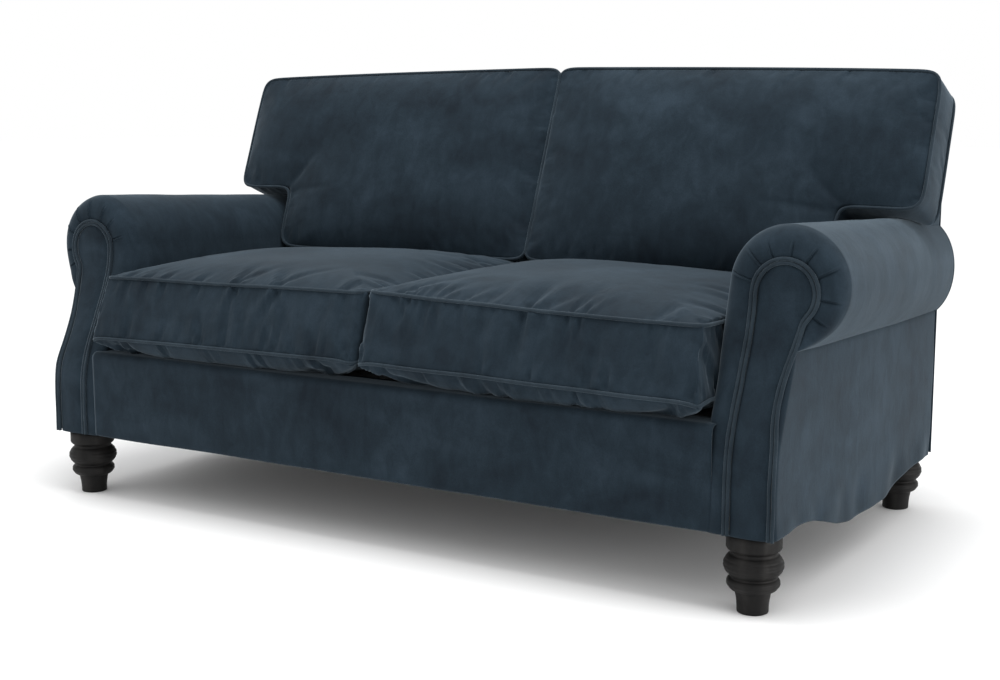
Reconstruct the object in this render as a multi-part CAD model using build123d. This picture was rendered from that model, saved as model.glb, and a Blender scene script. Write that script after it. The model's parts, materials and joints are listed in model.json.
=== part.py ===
from build123d import *
from math import cos, radians, sin, sqrt, tan
import os

# Two-seat upholstered sofa with scroll arms, loose cushions and turned wooden legs.
# Millimetres, +X to the right as seen from in front, +Y to the back, +Z up. While parts are
# made, Y is measured back from the front plane of the arms; export_part moves them so that
# the origin is on the floor at the middle of the overall width and depth.

os.makedirs("parts", exist_ok=True)

# --- Overall sizes -------------------------------------------------------------------------
base_width = 1686.0          # over the outside arm panels
frame_depth = 897.0          # arm fronts to outside back
back_height = 800.0          # floor to the top of the back frame
leg_height = 140.0           # floor to the underside of the base
arm_width = 125.0            # at the base, over the outside panel
cushion_nose = 27.0          # how far the seat cushions stand ahead of the arm fronts

# --- Sheet and clearance sizes ---------------------------------------------------------------
cloth = 2.0                  # thickness of the sewn covers
panel = 3.0                  # thickness of tacked-on outside panels
pad = 12.0                   # foam wrap on the arms
lining_gap = 0.5             # between layers that follow the same curved face
joint_gap = 1.0              # between upholstered bodies that butt together
soft_gap = 0.5               # least space beside a loose cushion
timber = 25.0                # thickness of the frame boards
back_board = 18.0            # thickness of the raked boards in the back
rail_height = 150.0
low_rail_step = 40.0         # how much lower the side and centre rails stand
back_rail_height = 40.0
post_width = 40.0
post_gap = 10.0              # from a corner block's top to the rear arm post

# --- Arms ------------------------------------------------------------------------------------
roll_radius_front = 108.0
roll_radius_rear = 95.0
roll_height_front = 660.0    # floor to the top of the roll at the front
roll_height_rear = 619.0
roll_bulge_front = 16.0      # how far the roll swells inwards past the arm's inner face
roll_bulge_rear = 10.0
rake_start = 290.0           # height where the arm front begins to slope back
rake_end = 500.0
rake_depth = 98.0            # how far back the scroll stands
rake_bend = 150.0            # bend radius at each end of the slope
scroll_board = 18.0

# --- Arm facings -----------------------------------------------------------------------------
facing_inset = 39.0          # from the arm's inner face to the facing's inner edge
facing_margin = 7.0          # from the outside panel to the facing's outer edge
facing_waist = 10.0          # how much the outer edge draws in at the waist
facing_head_radius = 56.0
facing_head_drop = 119.0     # from the top of the roll to the head's centre
facing_neck_angle = 50.0     # degrees below level where the head ends on its outer side
facing_thickness = 5.0
cord = 4.5                   # diameter class of the double piping
cord_gap = 0.3

# --- Seat ------------------------------------------------------------------------------------
deck_height = 322.0          # floor to the top of the seat deck
deck_pad = 20.0
deck_pad_gap = 0.1           # from the deck pad to the deck's cover
front_cover_depth = 60.0     # how far the front cover runs back over the deck
dust_margin = 8.0            # from the base's edges to the cloth under it
hem_drop = 26.0              # how much lower the side panel's hem hangs at the back
hem_sag = 50.0               # how much lower it hangs along its middle
hem_start = 130.0            # where it begins to sag, behind the arm front
spring_count = 10
spring_wire = 4.0
spring_pitch = 26.0          # one half wave of a sinuous spring
spring_swing = 22.0          # half width of a sinuous spring
spring_rise = 1.0            # from the rail's top to the springs
spring_hold = 7.5            # how far a spring's end runs onto its rail
spring_turn = 7.8            # bend radius of a spring's turns
clip_width, clip_depth, clip_height = 20.0, 12.0, 1.8
clip_set = 2.0               # from a spring's end to the middle of its clip

# --- Back ------------------------------------------------------------------------------------
back_lean = 21.5             # degrees from upright
back_top = 53.0              # depth of the back frame at its top
back_pad = 14.0
web_width = 50.0
web_thickness = 1.5
web_gap = 5.0                # from the strap's end to the back board's top
web_count = 5                # uprights of webbing on each side of the middle

# --- Cushions --------------------------------------------------------------------------------
piping = 3.5                 # how far a piping cord stands proud of a cushion's edge
piping_height = 5.0
cushion_gap = 2.5            # between the pipings of two cushions side by side
arm_gap = 7.0                # from a cushion's piping to the arm's upright face
seat_edge = 129.0            # thickness between the two pipings
seat_crown = 33.0            # rise of the top above its piping
seat_belly = 27.0            # drop of the underside below its piping
seat_lean = 47.0             # the top piping is this much further back than the lower one
seat_back_gap = 12.0         # from the seat cushion to the inside back at deck height
deck_gap = 4.0               # from the seat cushion to the deck
back_thickness = 115.0       # between front and rear piping
back_crown = 45.0            # bulge of the front face
back_rest_gap = 4.0          # from the back cushion to the inside back and to the seat crown
back_cushion_rise = 124.0    # front piping above the back frame's top
ear_clearance = 14.0         # from the arm roll's top to the ear's underside
ear_overhang = 27.0          # how far the ear passes the outside arm panel

# --- Zips ------------------------------------------------------------------------------------
zip_width = 26.0
zip_thickness = 1.5
zip_margin = 60.0            # from the cushion's end to the zip's end
slider_length = 14.0
slider_width = 9.0
slider_height = 4.0
slider_gap = 0.4
slider_start = 5.0           # from the zip's end

# --- Legs and hardware -----------------------------------------------------------------------
leg_front_inset = 55.0       # from the base's side to a front leg's centre
leg_rear_inset = 58.0
leg_front_setback = 44.0     # from the arm's front to a front leg's centre
leg_rear_setback = 51.0      # from the outside back to a rear leg's centre
foot_radius = 27.0
ankle_radius = 31.5
ring_radius = 46.0
neck_radius = 40.0
bulge_radius = 51.5
cove_radius = 40.0
collar_radius = 47.0
foot_bend = 8.0              # how far the shoulder above the ankle swells
block_size = (64.0, 78.0)    # corner block, across and along
block_height = 60.0
bolt_radius = 4.0
bolt_depth = 45.0            # into the leg
bolt_end = 5.0               # how far a bolt stands above its corner block
bolt_clearance = 0.15
nut_barrel_radius = 5.5
nut_flange_radius = 11.0
nut_barrel_length = 12.0
nut_flange = 1.5
glide_radius = 19.0
glide_thickness = 4.0
glide_clearance = 0.1
spigot_radius = 38.0         # top of the leg, where it passes the cloth
dust_cloth = 1.2

# --- Worked out from the above ---------------------------------------------------------------
half_base = base_width / 2
leg_front = (half_base - leg_front_inset, leg_front_setback)
leg_rear = (half_base - leg_rear_inset, frame_depth - leg_rear_setback)
arm_outer = half_base - panel                    # outer face of the arm's own cover
arm_inner = half_base - arm_width                # inner face, where the cushions fit
arm_rear = frame_depth - panel                   # rear face of the arm's own cover
base_under = leg_height
frame_under = base_under + cloth                 # underside of the timber frame
rail_top = frame_under + rail_height
low_rail_top = rail_top - low_rail_step
lean = tan(radians(back_lean))
overall_depth = frame_depth + cushion_nose
far = 2000.0                                     # past the whole sofa


def roll_at(y):
    """Centre and radius of the arm roll at depth y, as (x, z, radius)."""
    share = y / frame_depth
    radius = roll_radius_front + share * (roll_radius_rear - roll_radius_front)
    bulge = roll_bulge_front + share * (roll_bulge_rear - roll_bulge_front)
    top = roll_height_front + share * (roll_height_rear - roll_height_front)
    return arm_inner - bulge + radius, top - radius, radius


def arm_face(y, z):
    """X of the right arm's inner side at depth y, at its narrowest up to height z."""
    x, z_roll, radius = roll_at(y)
    below = max(z_roll - z, 0)
    swell = sqrt(radius**2 - below**2) if below < radius else 0
    return min(arm_inner, x - swell)


def inside_back(z):
    """Y of the inside back's face at height z."""
    return frame_depth - back_top - (back_height - z) * lean


def box(x0, x1, y0, y1, z0, z1):
    """Block between two opposite corners."""
    size = Box(abs(x1 - x0), abs(y1 - y0), abs(z1 - z0))
    return Pos((x0 + x1) / 2, (y0 + y1) / 2, (z0 + z1) / 2) * size


def upright_cylinder(centre, radius, z0, z1):
    """Upright cylinder between two heights."""
    return Pos(centre[0], centre[1], (z0 + z1) / 2) * Cylinder(radius, z1 - z0)


def prism(outline, x0, x1):
    """Prism between x0 and x1 from a face drawn in (y, z)."""
    return Pos(x0, 0, 0) * extrude(Plane.YZ * outline, amount=x1 - x0)


def side_profile(points, x0, x1):
    """Prism between x0 and x1 from (y, z) points."""
    return prism(make_face(Polyline(*points, close=True)), x0, x1)


def front_profile(outline, y0, y1):
    """Prism between y0 and y1 from a face drawn in (x, z)."""
    return Pos(0, y0, 0) * extrude(Plane.XZ * outline, amount=-(y1 - y0))


def mirrored(shape):
    return mirror(shape, about=Plane.YZ)


def export_part(name, shape):
    """Write one node, moved so that the origin is under the middle of the sofa."""
    place = Location((0, cushion_nose - overall_depth / 2, 0))
    solids = [solid.moved(place) for solid in shape.solids()]
    export_step(solids[0] if len(solids) == 1 else Compound(solids), f"parts/{name}.step")


def export_pair(name, right_shape):
    """The right-hand piece and its mirror image."""
    export_part(f"{name}_right", right_shape)
    export_part(f"{name}_left", mirrored(right_shape))


# --- Arms ------------------------------------------------------------------------------------
def behind_front(setback):
    """All the space behind the arm's front curve, moved back by setback."""
    curve = FilletPolyline(
        (setback, -far),
        (setback, rake_start),
        (setback + rake_depth, rake_end),
        (setback + rake_depth, far),
        radius=rake_bend,
    )
    rest = Polyline((setback + rake_depth, far), (far, far), (far, -far), (setback, -far))
    return prism(make_face([*curve.edges(), *rest.edges()]), -far, far)


def front_layer(near, away):
    """Layer that follows the arm's front curve, between two setbacks."""
    return behind_front(near) - behind_front(away)


def arm_section(y, grow, bottom):
    """Cross-section of the right arm at depth y, grown outwards all round."""
    x, z, radius = roll_at(y)
    radius += grow
    inner, outer = arm_inner - grow, arm_outer + grow
    z_inner = z - sqrt(radius**2 - (x - inner) ** 2)
    z_outer = z - sqrt(radius**2 - (outer - x) ** 2)
    roll = ThreePointArc((inner, y, z_inner), (x, y, z + radius), (outer, y, z_outer))
    sides = Polyline((outer, y, z_outer), (outer, y, bottom), (inner, y, bottom), (inner, y, z_inner))
    return make_face([*roll.edges(), *sides.edges()])


def arm_body(grow, bottom):
    """The right arm's tapered bulk, from the front plane to its rear face."""
    return loft([arm_section(0, grow, bottom), arm_section(arm_rear, grow, bottom)], ruled=True)


def arm_cover():
    outer = arm_body(0, base_under) & behind_front(0)
    inside = arm_body(-cloth, 0) & behind_front(cloth)
    below_deck = box(0, arm_inner + cloth + joint_gap, -far, far, 0, rail_top)
    return outer - inside - below_deck


def arm_board():
    skin = cloth + lining_gap
    return arm_body(-skin, frame_under) & front_layer(skin, skin + scroll_board)


def arm_foam():
    skin = cloth + lining_gap
    start = skin + scroll_board + lining_gap
    outer = arm_body(-skin, frame_under) & behind_front(start)
    hollow = arm_body(-skin - pad, 0)
    below_deck = box(0, arm_hollow_inner + joint_gap, -far, far, 0, rail_top + joint_gap)
    return outer - hollow - below_deck


def under_roll(y):
    """Height where the outside panel meets the roll at depth y."""
    x, z, radius = roll_at(y)
    reach = half_base - x + joint_gap
    return z - sqrt((radius + joint_gap) ** 2 - reach**2) - joint_gap


def outside_arm_panel():
    """Tacked panel over the arm's outside, with a sagging hem."""
    hem_rear = base_under - hem_drop
    hem = ThreePointArc(
        (hem_start, base_under), ((hem_start + arm_rear) / 2, base_under - hem_sag), (arm_rear, hem_rear)
    )
    rest = Polyline(
        (arm_rear, hem_rear), (arm_rear, under_roll(arm_rear)), (0, under_roll(0)), (0, base_under),
        (hem_start, base_under),
    )
    return prism(make_face([hem.edge(), *rest.edges()]), arm_outer, half_base) & behind_front(0)


def facing_outline():
    """The facing in (x, z): straight lower part, drawn-in waist and round head."""
    inner = arm_inner + facing_inset
    outer = half_base - facing_margin
    head_x = inner + facing_head_radius
    head_z = roll_height_front - facing_head_drop
    neck_angle = radians(facing_neck_angle)
    neck = (head_x + facing_head_radius * cos(neck_angle), head_z - facing_head_radius * sin(neck_angle))
    waist = (outer - facing_waist, (neck[1] + rake_start) / 2)
    head = ThreePointArc((inner, head_z), (head_x, head_z + facing_head_radius), neck)
    side = ThreePointArc(neck, waist, (outer, rake_start))
    rest = Polyline((outer, rake_start), (outer, 0), (inner, 0), (inner, head_z))
    return make_face([*head.edges(), *side.edges(), *rest.edges()])


def facing_ring(inner, outer):
    """Band round the facing's edge between two offsets from it."""
    return offset(facing_outline(), amount=outer) - offset(facing_outline(), amount=inner)


def above_hem(shape):
    return shape & box(0, far, -far, far, base_under, far)


def arm_facing():
    outline = offset(facing_outline(), amount=-cord - 1.5 * cord_gap)
    return above_hem(front_profile(outline, -far, far) & front_layer(-facing_thickness, 0))


def arm_piping():
    """Double piping round the facing: two cords side by side."""
    depth = front_layer(-facing_thickness - cord / 2, 0)
    near, away = cord_gap / 2, cord_gap / 2 + cord
    inner_cord = front_profile(facing_ring(-away, -near), -far, far)
    outer_cord = front_profile(facing_ring(near, away), -far, far)
    return Compound(children=[above_hem(inner_cord & depth), above_hem(outer_cord & depth)])


# --- Timber frame ----------------------------------------------------------------------------
arm_hollow_inner = arm_inner + cloth + lining_gap + pad     # faces of the space inside the arm
arm_hollow_outer = arm_outer - cloth - lining_gap - pad
board_back = cloth + lining_gap + scroll_board + joint_gap
rail_front = cloth + joint_gap                              # front face of the front rail
back_frame_setback = cloth + lining_gap + back_pad + web_thickness + 2 * joint_gap
rear_rail_front = inside_back(rail_top) + cloth + back_pad + 2 * joint_gap
spring_under = rail_top + spring_rise
back_board_under = spring_under + spring_wire + clip_height + joint_gap


def back_layer(near, away, x0, x1, z0, z1):
    """Raked board between two setbacks from the inside back's face."""
    points = [
        (inside_back(z0) + near, z0),
        (inside_back(z0) + away, z0),
        (inside_back(z1) + away, z1),
        (inside_back(z1) + near, z1),
    ]
    return side_profile(points, x0, x1)


def front_seat_rail():
    reach = arm_inner + cloth
    return box(-reach, reach, rail_front, rail_front + timber, frame_under, rail_top)


def rear_seat_rail():
    reach = arm_hollow_inner
    return box(-reach, reach, rear_rail_front, rear_rail_front + timber, frame_under, rail_top)


def side_seat_rail():
    """Right rail, inside the arm, from the scroll board to the back."""
    inner = arm_hollow_inner
    return box(inner, inner + timber, board_back, arm_rear - joint_gap, frame_under, low_rail_top)


def centre_seat_rail():
    y0 = rail_front + timber
    return box(-timber / 2, timber / 2, y0, rear_rail_front, frame_under, low_rail_top)


block_inner = arm_hollow_inner + timber                     # corner blocks stand beside the rails


def corner_block(centre):
    x1 = min(block_inner + block_size[0], arm_hollow_outer)
    y0 = max(centre[1] - block_size[1] / 2, board_back)
    y1 = min(centre[1] + block_size[1] / 2, arm_rear - joint_gap)
    solid = box(block_inner, x1, y0, y1, frame_under, frame_under + block_height)
    middle = Pos(centre[0], centre[1], 0)
    bore = middle * Cylinder(bolt_radius + bolt_clearance, far)
    top = frame_under + block_height
    barrel = upright_cylinder(centre, nut_barrel_radius + bolt_clearance, top - nut_barrel_length, top)
    return solid - bore - barrel


def corners(make):
    """A piece at each of the four legs."""
    right = [make(leg_front), make(leg_rear)]
    return Compound(children=[*right, *[mirrored(piece) for piece in right]])


def arm_posts():
    """Front and rear uprights inside each arm."""
    x0 = block_inner
    front_y = rake_depth + board_back + joint_gap
    front = box(x0, x0 + post_width, front_y, front_y + timber, frame_under, arm_rail_under)
    rear_y = arm_rear - joint_gap - timber
    block_top = frame_under + block_height
    rear = box(x0, x0 + post_width, rear_y, rear_y + timber, block_top + post_gap, arm_rail_under)
    return Compound(children=[front, rear, mirrored(front), mirrored(rear)])


roll_rear_x, roll_rear_z, _ = roll_at(arm_rear)
arm_rail_under = roll_rear_z - timber / 2


def arm_top_rail():
    """Right rail along the middle of the roll."""
    y0 = rake_depth + board_back
    x0 = block_inner
    return box(x0, x0 + 2 * timber, y0, arm_rear - joint_gap, arm_rail_under, arm_rail_under + timber)


back_board_top = back_height - cloth - back_pad / 2
upper_rail_under = back_board_top - back_rail_height
board_near, board_away = back_frame_setback, back_frame_setback + back_board


def back_uprights():
    """Two raked posts and a centre stile, between the lower and the top rail."""
    low = back_board_under + back_rail_height + joint_gap
    edge = arm_inner - 2 * post_width
    post = back_layer(board_near, board_away, edge, edge + post_width, low, upper_rail_under)
    stile_half = post_width / 2
    stile = back_layer(board_near, board_away, -stile_half, stile_half, low, upper_rail_under)
    return Compound(children=[stile, post, mirrored(post)])


def back_lower_rail():
    reach = arm_inner - post_width
    top = back_board_under + back_rail_height
    return back_layer(board_near, board_away, -reach, reach, back_board_under, top)


def back_top_rail():
    reach = half_base - 2 * cloth - pad
    return back_layer(board_near, board_away, -reach, reach, upper_rail_under, back_board_top)


def back_wing_posts():
    """Short posts from the arm rolls to the ends of the top rail."""
    x0 = roll_rear_x - post_width / 2
    _, z_roll, radius = roll_at(inside_back(roll_height_rear))
    low = z_roll + radius + cloth + 2 * joint_gap
    post = back_layer(board_near, board_away, x0, x0 + post_width, low, upper_rail_under)
    return Compound(children=[post, mirrored(post)])


# --- Springs and webbing ---------------------------------------------------------------------
spring_front = rail_front + timber - spring_hold
spring_back = rear_rail_front + spring_hold


def spring_places():
    """X of each sinuous spring, evenly spaced and clear of the middle."""
    step = 2 * arm_inner / spring_count
    return [(i + 0.5) * step - arm_inner for i in range(spring_count)]


def seat_springs():
    """Flat zigzag of wire with round turns, one for each place."""
    run = spring_back - spring_front
    waves = int(run / spring_pitch)
    pitch = run / waves
    slant = 0.15                                 # share of a wave that crosses at each end
    points = [(0, spring_front)]
    for i in range(waves):
        side = spring_swing if i % 2 else -spring_swing
        start = spring_front + i * pitch
        points += [(side, start + slant * pitch), (side, start + (1 - slant) * pitch)]
    points.append((0, spring_back))
    path = FilletPolyline(*points, radius=spring_turn)
    wire = extrude(trace(path, line_width=spring_wire), amount=spring_wire)
    return Compound(children=[Pos(x, 0, spring_under) * wire.solid() for x in spring_places()])


def spring_clips():
    """A clip over each end of each spring."""
    top = spring_under + spring_wire
    clips = []
    for x in spring_places():
        for y in (spring_front + clip_set, spring_back - clip_set):
            plate = box(x - clip_width / 2, x + clip_width / 2, y - clip_depth / 2, y + clip_depth / 2,
                        top, top + clip_height)
            clips.append(plate)
    return Compound(children=clips)


def back_webbing():
    """Upright straps in front of the back boards, on each side of the centre stile."""
    near = cloth + lining_gap + back_pad + joint_gap
    low = back_board_under + joint_gap
    clear = arm_inner - post_width
    step = clear / web_count
    straps = []
    for i in range(web_count):
        x = (i + 0.5) * step
        strap = back_layer(near, near + web_thickness, x - web_width / 2, x + web_width / 2,
                           low, back_board_top - web_gap)
        straps += [strap, mirrored(strap)]
    return Compound(children=straps)


# --- Upholstery of the seat and back ---------------------------------------------------------
def deck_foam():
    top = deck_height - cloth
    reach = arm_inner - joint_gap
    back = rear_rail_front - joint_gap
    return box(-reach, reach, rail_front + joint_gap, back, top - deck_pad, top - deck_pad_gap)


def deck_cover():
    reach = arm_inner - joint_gap
    z0 = deck_height - cloth
    back = inside_back(deck_height) - joint_gap
    return box(-reach, reach, front_cover_depth, back, z0, deck_height)


def front_rail_cover():
    """Cloth round the front rail: its face, the front of the deck and a turned-under hem."""
    reach = arm_inner - lining_gap
    skin = box(-reach, reach, 0, front_cover_depth, base_under, deck_height)
    room = box(-reach, reach, cloth, far, frame_under, deck_height - cloth)
    return skin - room


def arm_room(gap):
    """Space that the right arm takes from the back, with a gap round it."""
    _, z, _ = roll_at(arm_rear)
    below_roll = box(arm_inner - gap, far, -far, far, 0, z)
    return arm_body(gap, 0) + below_roll


def back_block(inset, open_far):
    """Bulk of the upholstered back; it fits round the arm rolls."""
    z0, z1 = deck_height + joint_gap, back_height - inset
    rear = arm_rear + open_far
    near = inset / cos(radians(back_lean))
    low = z0 - open_far
    points = [
        (inside_back(low) + near, low),
        (inside_back(z1) + near, z1),
        (rear, z1),
        (rear, low),
    ]
    reach = half_base - inset
    arm = arm_room(joint_gap + inset)
    return side_profile(points, -reach, reach) - arm - mirrored(arm)


def back_cover():
    return back_block(0, 0) - back_block(cloth, back_pad)


def inside_back_foam():
    """Foam on the front of the back boards."""
    skin = cloth + lining_gap
    z0 = deck_height + 2 * joint_gap
    reach = half_base - skin
    arm = arm_room(joint_gap + skin)
    slab = back_layer(skin / cos(radians(back_lean)), skin + back_pad, -reach, reach, z0,
                      back_height - skin)
    return slab - arm - mirrored(arm)


def outside_back_panel():
    """Tacked panel over the whole rear, with the ends of the arm rolls."""
    x, z, radius = roll_at(arm_rear)
    low = base_under - hem_drop
    middle = Pos(0, (low + back_height) / 2) * Rectangle(base_width, back_height - low)
    ends = Pos(x, z) * Circle(radius) + Pos(-x, z) * Circle(radius)
    return front_profile(middle + ends, arm_rear, frame_depth)


def dust_cover():
    """Cloth under the frame, with a hole round each leg."""
    reach = half_base - dust_margin
    sheet = box(-reach, reach, dust_margin, frame_depth - dust_margin, frame_under - dust_cloth,
                frame_under)
    sheet -= box(-arm_inner, arm_inner, 0, front_cover_depth + joint_gap, 0, far)
    return sheet - corners(dust_cover_hole)


def dust_cover_hole(centre):
    return upright_cylinder(centre, spigot_radius + joint_gap, 0, far)


# --- Cushions --------------------------------------------------------------------------------
cushion_middle = piping + cushion_gap / 2                   # inner end of a right-hand cushion
seat_low = deck_height + deck_gap + seat_belly              # height of the lower piping
seat_top = seat_low + seat_edge
seat_rear = inside_back(deck_height) - seat_back_gap
seat_front = -cushion_nose + piping                         # front face at the lower piping
seat_slope = seat_lean / seat_edge
seat_crown_top = seat_top + seat_crown
seat_middle = (seat_front + seat_lean + seat_rear) / 2      # where the top is highest
seat_side = min(                                            # outer end of the right seat cushion
    arm_face(seat_rear, seat_top) - arm_gap - piping,
    arm_face(seat_middle, seat_crown_top) - soft_gap,
)


def seat_outline():
    """Seat cushion in (y, z): leaning front, crowned top, sagging belly and upright rear."""
    top_front = seat_front + seat_lean
    top = ThreePointArc(
        (top_front, seat_top), ((top_front + seat_rear) / 2, seat_crown_top), (seat_rear, seat_top)
    )
    belly = ThreePointArc(
        (seat_rear, seat_low), ((seat_front + seat_rear) / 2, seat_low - seat_belly), (seat_front, seat_low)
    )
    rear = Line(top @ 1, belly @ 0)
    front = Line(belly @ 1, top @ 0)
    return make_face([top.edge(), rear.edge(), belly.edge(), front.edge()])


def seat_cushion(inset):
    """Right seat cushion, drawn in by inset all round."""
    outline = offset(seat_outline(), amount=-inset) if inset else seat_outline()
    return prism(outline, cushion_middle + inset, seat_side - inset)


def seat_piping():
    """Cord round the top edge and cord round the lower edge."""
    rings = []
    for z in (seat_low, seat_top - piping_height):
        front = seat_front + seat_slope * (z - seat_low)
        outer = box(cushion_middle - piping, seat_side + piping, front - piping, seat_rear + piping,
                    z, z + piping_height)
        inner = box(cushion_middle, seat_side, front, seat_rear, z, z + piping_height)
        rings.append(outer - inner)
    trimmed = [(ring - seat_cushion(0)).solids().sort_by(SortBy.VOLUME)[-1] for ring in rings]
    return Compound(children=trimmed)


seat_zip_ends = (cushion_middle + zip_margin, seat_side - zip_margin)
seat_zip_height = (seat_low + seat_top) / 2


def seat_zip():
    """Zip tape on the rear of the cushion."""
    half = zip_width / 2
    return box(*seat_zip_ends, seat_rear, seat_rear + zip_thickness, seat_zip_height - half,
               seat_zip_height + half)


def seat_slider():
    start = seat_zip_ends[0] + slider_start
    near = seat_rear + zip_thickness + slider_gap
    half = slider_width / 2
    return box(start, start + slider_length, near, near + slider_height, seat_zip_height - half,
               seat_zip_height + half)


# A back cushion leans with the inside back. Its front piping lies in a plane, the front plane,
# and its rear piping in a parallel one.
lean_cos, lean_sin = cos(radians(back_lean)), sin(radians(back_lean))
back_under = seat_crown_top + back_rest_gap                 # level underside
back_top_front = back_height + back_cushion_rise - piping
back_side = roll_at(arm_rear)[0] - roll_radius_rear - arm_gap - piping   # end between the arms
ear_side = half_base + ear_overhang - piping


def rear_plane(z):
    """Y of the cushion's rear face at height z."""
    return inside_back(z) - back_rest_gap / lean_cos


def front_plane(z):
    """Y of the plane of the front piping at height z."""
    return rear_plane(z) - back_thickness / lean_cos


def through(y, z, forward):
    """Point reached from (y, z) by going forward, square to the front plane."""
    return (y - forward * lean_cos, z + forward * lean_sin)


def back_outline():
    """Back cushion in (y, z): bulging front, square top, flat rear and level underside."""
    foot = (front_plane(back_under), back_under)
    top = (front_plane(back_top_front), back_top_front)
    middle = ((foot[0] + top[0]) / 2, (foot[1] + top[1]) / 2)
    front = ThreePointArc(foot, through(*middle, back_crown), top)
    rest = Polyline(top, through(*top, -back_thickness), (rear_plane(back_under), back_under), foot)
    return make_face([front.edge(), *rest.edges()])


def ear_notch():
    """All that lies under the ear, in (y, z)."""
    _, z, radius = roll_at(front_plane(roll_height_rear))
    corner_z = z + radius + ear_clearance + back_thickness * lean_sin
    corner = (front_plane(corner_z), corner_z)
    ahead, behind = through(*corner, far), through(*corner, -far)
    return make_face(Polyline(ahead, behind, (behind[0], -far), (ahead[0], -far), close=True))


def back_cushion(inset):
    """Right back cushion, drawn in by inset all round, with its ear over the arm."""
    outline = offset(back_outline(), amount=-inset) if inset else back_outline()
    notch = offset(ear_notch(), amount=inset, kind=Kind.INTERSECTION) if inset else ear_notch()
    whole = prism(outline, cushion_middle + inset, ear_side - inset)
    return whole - prism(notch, back_side - inset, far)


def back_piping():
    """Cord round the front edge and cord round the rear edge."""
    def slab(near, top):
        """Cord-thick layer up to a height, square to the front plane."""
        away = near + piping_height
        ends = [(front_plane(0), 0), (front_plane(top), top)]
        points = [through(*end, -near) for end in ends] + [through(*end, -away) for end in ends[::-1]]
        return make_face(Polyline(*points, close=True))

    cords = []
    lower = Location((0, -piping * lean_sin, -piping * lean_cos))
    for near in (0, back_thickness - piping_height):
        outer = prism(slab(near, back_top_front + piping * lean_cos), cushion_middle - piping,
                      ear_side + piping)
        outer -= prism(ear_notch(), back_side + piping, far).moved(lower)
        inner = prism(slab(near, back_top_front), cushion_middle, ear_side)
        inner -= prism(ear_notch(), back_side, far)
        below = box(-far, far, -far, far, -far, back_under)
        cords += (outer - inner - below).solids()
    return Compound(children=cords)


back_zip_ends = (cushion_middle + zip_margin, back_side - zip_margin)
back_zip_y = rear_plane(back_under) - zip_width


def back_zip():
    """Zip tape near the rear of the underside."""
    half = zip_width / 2
    return box(*back_zip_ends, back_zip_y - half, back_zip_y + half, back_under - zip_thickness,
               back_under)


def back_slider():
    start = back_zip_ends[0] + slider_start
    top = back_under - zip_thickness - slider_gap
    half = slider_width / 2
    return box(start, start + slider_length, back_zip_y - half, back_zip_y + half,
               top - slider_height, top)


# --- Legs ------------------------------------------------------------------------------------
# Heights up the turning, as shares of the leg's height.
toe_share, ankle_share, shoulder_share, ring_low_share = 0.12, 0.26, 0.30, 0.325
ring_share, ring_top_share, neck_share = 0.38, 0.425, 0.45
bulge_share, cove_share, collar_share = 0.60, 0.73, 0.81
ring_round = 3.5             # how much smaller the ring is at its edges
toe_round = 0.5              # how much the foot swells above the floor


def leg(centre):
    """Turned leg with a flared foot, ring, bulge, cove and collar."""
    height, top = leg_height, frame_under
    ring_edge = ring_radius - ring_round
    foot = ThreePointArc(
        (foot_radius, 0),
        (foot_radius + toe_round, height * toe_share),
        (ankle_radius, height * ankle_share),
    )
    calf = ThreePointArc(
        foot @ 1, (ankle_radius + foot_bend, height * shoulder_share), (ring_edge, height * ring_low_share)
    )
    ring = ThreePointArc(
        calf @ 1, (ring_radius, height * ring_share), (ring_edge, height * ring_top_share)
    )
    neck = Line(ring @ 1, (neck_radius, height * neck_share))
    bulge = ThreePointArc(
        neck @ 1, (bulge_radius, height * bulge_share), (cove_radius, height * cove_share)
    )
    collar = Line(bulge @ 1, (collar_radius, height * collar_share))
    block = Polyline((collar_radius, height * collar_share), (collar_radius, height),
                     (spigot_radius, height), (spigot_radius, top), (0, top), (0, 0), (foot_radius, 0))
    edges = [e for part in (foot, calf, ring, neck, bulge, collar, block) for e in part.edges()]
    turned = revolve(Plane.XZ * make_face(edges), axis=Axis.Z)
    bore = Pos(0, 0, top - bolt_depth / 2) * Cylinder(bolt_radius + bolt_clearance, bolt_depth)
    recess = Pos(0, 0, glide_thickness / 2) * Cylinder(glide_radius + glide_clearance, glide_thickness)
    return Pos(centre[0], centre[1], 0) * (turned - bore - recess)


def leg_bolt(centre):
    low = frame_under - bolt_depth + joint_gap
    return upright_cylinder(centre, bolt_radius, low, frame_under + block_height + bolt_end)


def leg_nut(centre):
    """Tee nut let into the top of a corner block."""
    top = frame_under + block_height
    low = top - nut_barrel_length + lining_gap
    barrel = upright_cylinder(centre, nut_barrel_radius, low, top + nut_flange)
    flange = upright_cylinder(centre, nut_flange_radius, top, top + nut_flange)
    return barrel + flange - upright_cylinder(centre, bolt_radius + bolt_clearance, 0, far)


def leg_glide(centre):
    return upright_cylinder(centre, glide_radius, 0, glide_thickness - glide_clearance)


# --- Write every piece -----------------------------------------------------------------------
export_part("front_seat_rail", front_seat_rail())
export_part("rear_seat_rail", rear_seat_rail())
export_part("centre_seat_rail", centre_seat_rail())
export_part("side_seat_rails", side_seat_rail() + mirrored(side_seat_rail()))
export_part("corner_blocks", corners(corner_block))
export_part("arm_posts", arm_posts())
export_part("arm_top_rails", arm_top_rail() + mirrored(arm_top_rail()))
export_pair("arm_scroll_board", arm_board())
export_part("back_uprights", back_uprights())
export_part("back_lower_rail", back_lower_rail())
export_part("back_top_rail", back_top_rail())
export_part("back_wing_posts", back_wing_posts())
export_part("seat_springs", seat_springs())
export_part("spring_clips", spring_clips())
export_part("back_webbing", back_webbing())
export_part("deck_pad", deck_foam())
export_part("deck_cover", deck_cover())
export_part("front_rail_cover", front_rail_cover())
export_pair("arm_cover", arm_cover())
export_pair("arm_pad", arm_foam())
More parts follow.
